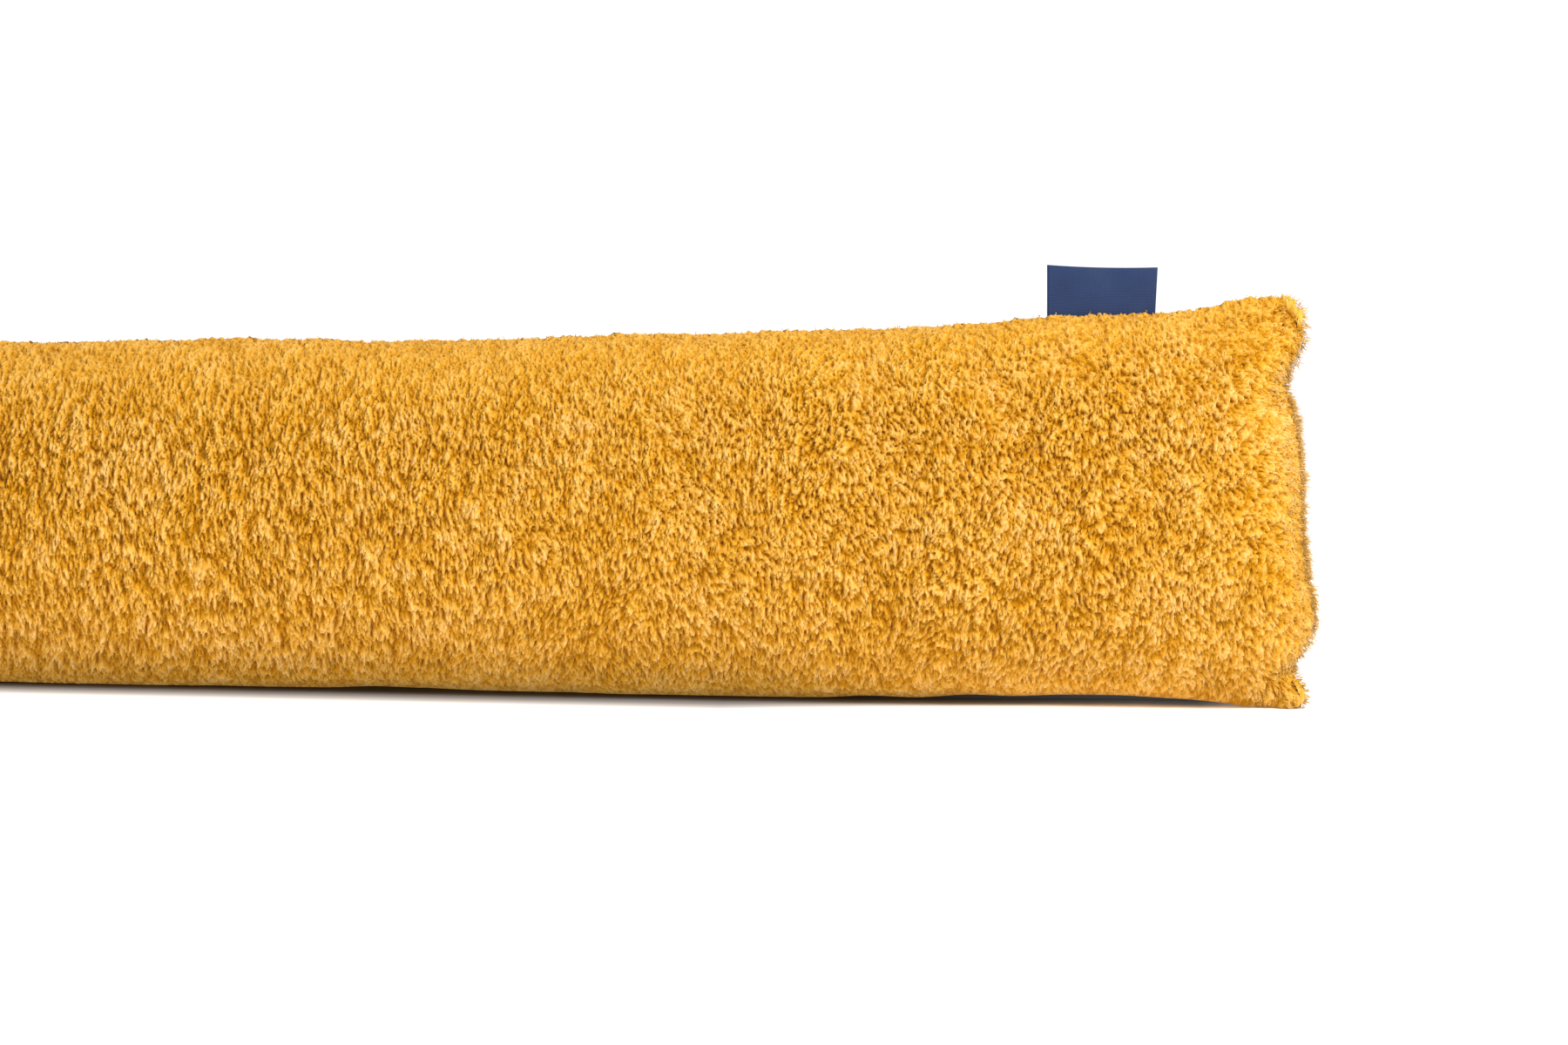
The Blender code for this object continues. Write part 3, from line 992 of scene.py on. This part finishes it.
# %% Label piece
def make_label():
    """The section of the ribbon is an upside-down U. Its outer line goes up the front,
    over the fold and down the back; the inner line comes back inside it. Across the
    width the fold dips in the middle and both layers bend gently."""
    width = label_high[0] - label_low[0]
    middle = (label_high[0] + label_low[0]) / 2
    top, base = label_high[2], label_low[2] - LABEL_ROOT
    across = np.linspace(-1.0, 1.0, 41)
    leg = np.linspace(0.0, 1.0, 15)
    turn = np.linspace(math.pi, 0.0, 9)[1:-1]
    flat = np.ones_like(leg)

    def line(radius):
        y = radius * np.concatenate([-flat, np.cos(turn), flat])
        z = np.concatenate([leg, np.ones_like(turn), leg[::-1]])
        lift = radius * np.concatenate([0 * flat, np.sin(turn), 0 * flat])
        return y, z, lift

    parts = [line(radius) for radius in (LABEL_GAP + LABEL_THICK, LABEL_GAP)]
    y, share, lift = (np.concatenate([a, b[::-1]]) for a, b in zip(*parts))
    fold = top - 0.0008 - 0.0007 * (1 - across**2)
    z = base + (fold[:, None] - base) * share + lift
    ripple = 0.0006 * np.sin(2.2 * across) + 0.0003 * np.sin(6.0 * across + 1.0)
    spread = 1 + 0.9 * (1 - share) ** 2
    y = y * spread + ripple[:, None] * share
    x = middle + across[:, None] * (width / 2 - 0.0009 * (1 - share))
    grid = np.stack([x, y, z], axis=2)
    rows, around = grid.shape[:2]
    faces = ring_faces(rows, around)
    half = around // 2
    k = np.arange(half - 1)
    cap = np.stack([k, around - 1 - k, around - 2 - k, k + 1], axis=1)
    caps = np.vstack([cap, (cap + (rows - 1) * around)[:, ::-1]])
    uv = np.stack([x - middle, np.broadcast_to(share * (top - base), x.shape)], axis=2)
    points, uv = grid.reshape(-1, 3), uv.reshape(-1, 2)
    return new_piece("label_ribbon", points, [np.vstack([faces, caps])], uv)


ribbon = make_label()
ribbon.data.materials.append(label_paint())
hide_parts("label")
print("label:", triangle_count(ribbon), "triangles")

# %% [markdown]
# ## Floor, light and camera
#
# A product photograph on white: a white floor that runs on behind the object, white
# light from all round, a broad lamp above, to the right, and a weaker one in front.
# The lower front of the tube is pale too, as on a light table. So a long lamp lies
# below the floor, and the floor throws no shadow.
#
# So much light leaves hardly any shadow under the tube. The floor's colour gives it
# instead, as a painted shadow: dark where the tube rests, and white from a hand's width
# in front of it. Towards the right end the underside lifts and one sees under it, so
# there the painted dark strip lies further back and is narrower.
#
# The camera stands a little above the floor, two metres away, with a long lens, and it
# is turned by a little more than one degree.

# %% Floor, with a painted shadow
FLOOR_SIZE = 12.0  # from the middle to each side
SHADE_REACH = 0.10  # metres for the whole ramp of greys
# Greys of the painted shadow, from dark under the tube to white.
PAINTED_SHADOW_GREYS = (
    (0.00, 0.09),
    (0.15, 0.08),
    (0.26, 0.17),
    (0.38, 0.25),
    (0.50, 0.47),
    (0.62, 0.80),
    (0.74, 0.95),
)
LIFT_START = 0.17  # where the underside begins to lift
LIFT_RUN = 0.20
LIFT_SHIFT = 0.028  # how far the dark strip moves back there
LIFT_NARROWS = 0.9
SHADE_END = 0.40  # past this the strip ends, at both ends of the tube


def floor_paint():
    """White, with a painted shadow under the tube. The grey follows the distance from the line
    on which the tube rests. The lift runs from 0 to 1: it moves that line back and makes
    the distance count for more. What lies past an end is added to the distance."""
    paint = Paint("pale floor with painted shadow")
    place = paint.node("ShaderNodeTexCoord", {}, {}, "Object")
    x, y = (paint.node("ShaderNodeSeparateXYZ", {}, {"Vector": place}, k) for k in (0, 1))
    lifted = x.math("MAXIMUM", (x - LIFT_START) * (1 / LIFT_RUN), 0.0)
    lifted = x.math("MINIMUM", lifted, 1.0)
    past = x.math("MAXIMUM", x.math("ABSOLUTE", x) - SHADE_END, 0.0)
    away = x.math("ABSOLUTE", y - lifted * LIFT_SHIFT) * (lifted * LIFT_NARROWS + 1.0) + past
    stops = [(position, (grey, grey, grey)) for position, grey in PAINTED_SHADOW_GREYS]
    colour = paint.ramp(away * (1 / SHADE_REACH), stops)
    return paint.finish(colour, 1.0, fixed={"Specular IOR Level": 0.0})


def make_floor():
    corners = [(-1, -1), (1, -1), (1, 1), (-1, 1)]
    mesh = bpy.data.meshes.new("floor")
    mesh.from_pydata([(FLOOR_SIZE * x, FLOOR_SIZE * y, 0) for x, y in corners], [], [(0, 1, 2, 3)])
    mesh.materials.append(floor_paint())
    floor = bpy.data.objects.new("floor", mesh)
    bpy.context.scene.collection.objects.link(floor)
    floor.visible_shadow = False


make_floor()

# %% Light
WORLD_STRENGTH = 1.15
LAMP_COLUMNS = ("name", "place", "aim", "length", "width", "power")
LAMPS = (
    ("key", (1.10, -0.90, 1.20), (0.25, 0.0, 0.08), 0.6, 0.6, 29.0),
    ("front", (-0.20, -1.30, 1.50), (0.05, 0.0, 0.08), 0.7, 0.7, 5.0),
    ("table", (0.02, -0.36, -0.24), (0.02, -0.04, 0.05), 1.3, 0.15, 2.5),
)


def make_lamp(name, place, aim, length, width, power):
    """A round lamp, or an oblong one where its length and width differ."""
    data = bpy.data.lights.new(name, "AREA")
    data.shape = "DISK" if length == width else "RECTANGLE"
    data.size, data.size_y = length, width
    data.energy = power
    lamp = bpy.data.objects.new(name, data)
    lamp.location = place
    lamp.rotation_euler = (Vector(aim) - Vector(place)).to_track_quat("-Z", "Y").to_euler()
    bpy.context.scene.collection.objects.link(lamp)


for row in LAMPS:
    make_lamp(**dict(zip(LAMP_COLUMNS, row)))
print("lamps:", ", ".join(row[0] for row in LAMPS))

world = bpy.data.worlds.new("white studio")
world.use_nodes = True
background = world.node_tree.nodes["Background"].inputs
background["Color"].default_value = (1.0, 1.0, 1.0, 1.0)
background["Strength"].default_value = WORLD_STRENGTH
bpy.context.scene.world = world
bpy.context.scene.view_settings.view_transform = "Standard"
bpy.context.scene.view_settings.look = "None"

# %% Camera
PHOTO_WIDTH = 1800  # pixels
METRES_PER_PIXEL = 0.00042  # at the middle of the tube
DISTANCE = 2.0
SENSOR_WIDTH = 36.0  # millimetres
ELEVATION = math.radians(4.0)
ROLL = math.radians(1.30)
PICTURE_CENTRE = Vector((0.198, 0.0, 0.0843))


def make_camera():
    """A camera whose lens is its sensor's width times the distance, divided by the width
    that it sees."""
    data = bpy.data.cameras.new("camera")
    data.sensor_width = SENSOR_WIDTH
    data.lens = data.sensor_width * DISTANCE / (PHOTO_WIDTH * METRES_PER_PIXEL)
    camera = bpy.data.objects.new("camera", data)
    back = Vector((0.0, -math.cos(ELEVATION), math.sin(ELEVATION)))
    camera.location = PICTURE_CENTRE + DISTANCE * back
    look = (-back).to_track_quat("-Z", "Y").to_matrix()
    camera.rotation_euler = (look @ Matrix.Rotation(ROLL, 3, "Z")).to_euler()
    bpy.context.scene.collection.objects.link(camera)
    bpy.context.scene.camera = camera
    print("camera: lens of", round(data.lens, 1), "mm")


make_camera()
